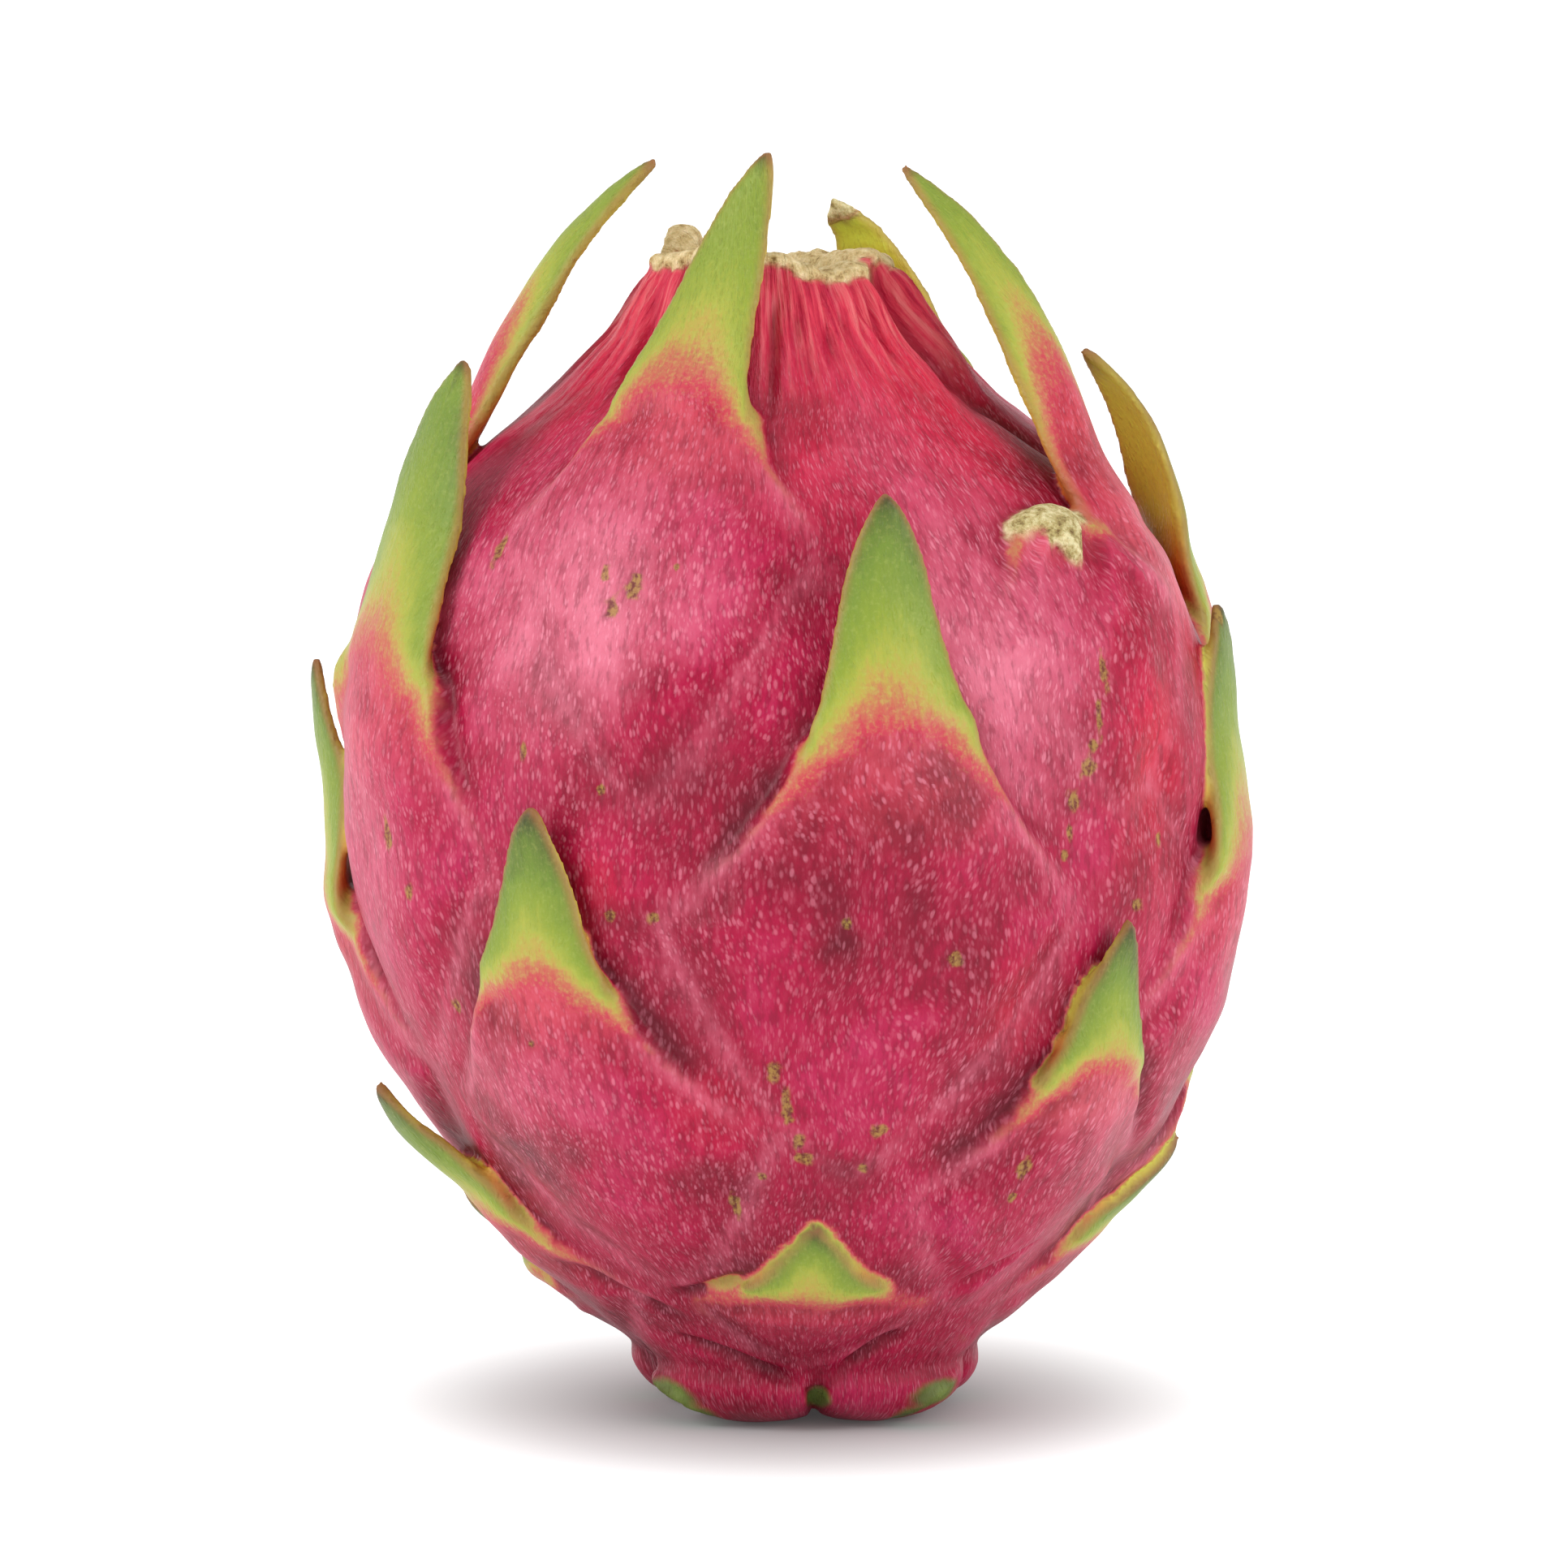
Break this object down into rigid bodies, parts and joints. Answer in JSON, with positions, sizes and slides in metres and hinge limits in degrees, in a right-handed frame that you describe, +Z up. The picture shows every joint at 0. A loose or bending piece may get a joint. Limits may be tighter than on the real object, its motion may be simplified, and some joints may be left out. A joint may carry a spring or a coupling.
{
  "type": "dragon fruit",
  "caption": "Whole dragon fruit: an egg-shaped magenta fruit that stands on a small flat foot, with leafy green-tipped scales and a dried, hollow neck.",
  "frame": {"origin": "middle of the fruit's bounding box, on the surface that it stands on", "axes": "+Z up through the neck; -Y is the side shown to the viewer and +X is at the viewer's right"},
  "size_m": [0.0912, 0.089, 0.1265],
  "materials": {
    "rind": "waxy magenta rind with fine pale flecks; scales turn salmon, yellow and green towards their tips; dried rim tan"
  },
  "bodies": {
    "root": {"dragon_fruit": "rind"}
  },
  "joints": []
}
